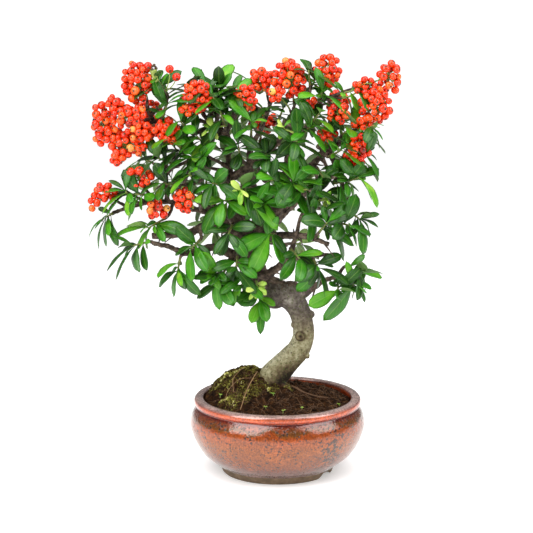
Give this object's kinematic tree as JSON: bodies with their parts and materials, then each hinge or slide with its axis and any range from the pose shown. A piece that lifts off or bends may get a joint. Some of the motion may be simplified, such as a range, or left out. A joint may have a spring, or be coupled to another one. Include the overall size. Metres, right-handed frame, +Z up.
{
  "type": "firethorn bonsai",
  "caption": "Small evergreen firethorn tree with a curved trunk, narrow leaves and bunches of orange-red berries, growing in a round glazed pot.",
  "frame": {"origin": "on the ground, under the middle of the whole tree's box; the pot's own axis stands about 23 mm to +X and 10 mm to -Y of it, because the crown leans out over the pot's left side", "axes": "+Z up, the front of the tree towards -Y, +X to the right seen from the front"},
  "size_m": [0.2305, 0.1542, 0.32],
  "materials": {
    "pot_glaze": "glossy copper-orange glaze with dark flecks, unglazed foot",
    "potting_soil": "crumbly damp soil with moss",
    "bark": "matt bark",
    "leaf_green": "half-gloss leathery leaf",
    "berry_skin": "glossy berry skin"
  },
  "bodies": {
    "root": {"pot": "pot_glaze", "soil": "potting_soil", "wood": "bark", "berries_back_mid": "berry_skin", "berries_centre_left": "berry_skin", "berries_front_left": "berry_skin", "berries_front_left_loose": "berry_skin", "berries_left_back": "berry_skin", "berries_left_face": "berry_skin", "berries_left_far_loose": "berry_skin", "berries_left_inner": "berry_skin", "berries_left_loose": "berry_skin", "berries_left_lower": "berry_skin", "berries_left_side": "berry_skin", "berries_left_top": "berry_skin", "berries_mid_left": "berry_skin", "berries_mid_top": "berry_skin", "berries_right_back": "berry_skin", "berries_right_far_loose": "berry_skin", "berries_right_low": "berry_skin", "berries_right_over": "berry_skin", "berries_right_side": "berry_skin", "berries_top_large": "berry_skin", "berries_top_right": "berry_skin", "leaves_back_left": "leaf_green", "leaves_back_left_tip": "leaf_green", "leaves_back_low": "leaf_green", "leaves_back_mid": "leaf_green", "leaves_back_right": "leaf_green", "leaves_back_right_tip": "leaf_green", "leaves_centre_left": "leaf_green", "leaves_centre_tip": "leaf_green", "leaves_centre_top": "leaf_green", "leaves_fork_mid": "leaf_green", "leaves_front_mid": "leaf_green", "leaves_front_up": "leaf_green", "leaves_left_front": "leaf_green", "leaves_left_low": "leaf_green", "leaves_left_low_tip": "leaf_green", "leaves_left_up_back": "leaf_green", "leaves_left_up_mid": "leaf_green", "leaves_left_up_tip": "leaf_green", "leaves_left_up_under": "leaf_green", "leaves_mid_top_back": "leaf_green", "leaves_right_droop": "leaf_green", "leaves_right_droop_tip": "leaf_green", "leaves_right_inner": "leaf_green", "leaves_right_low": "leaf_green", "leaves_right_low_tip": "leaf_green", "leaves_right_low_twig": "leaf_green", "leaves_right_mid": "leaf_green", "leaves_right_tip": "leaf_green", "leaves_right_up_back": "leaf_green", "leaves_right_up_tip": "leaf_green", "leaves_rise_top": "leaf_green", "leaves_top_right": "leaf_green", "leaves_trunk_front": "leaf_green", "leaves_trunk_left": "leaf_green"}
  },
  "joints": []
}
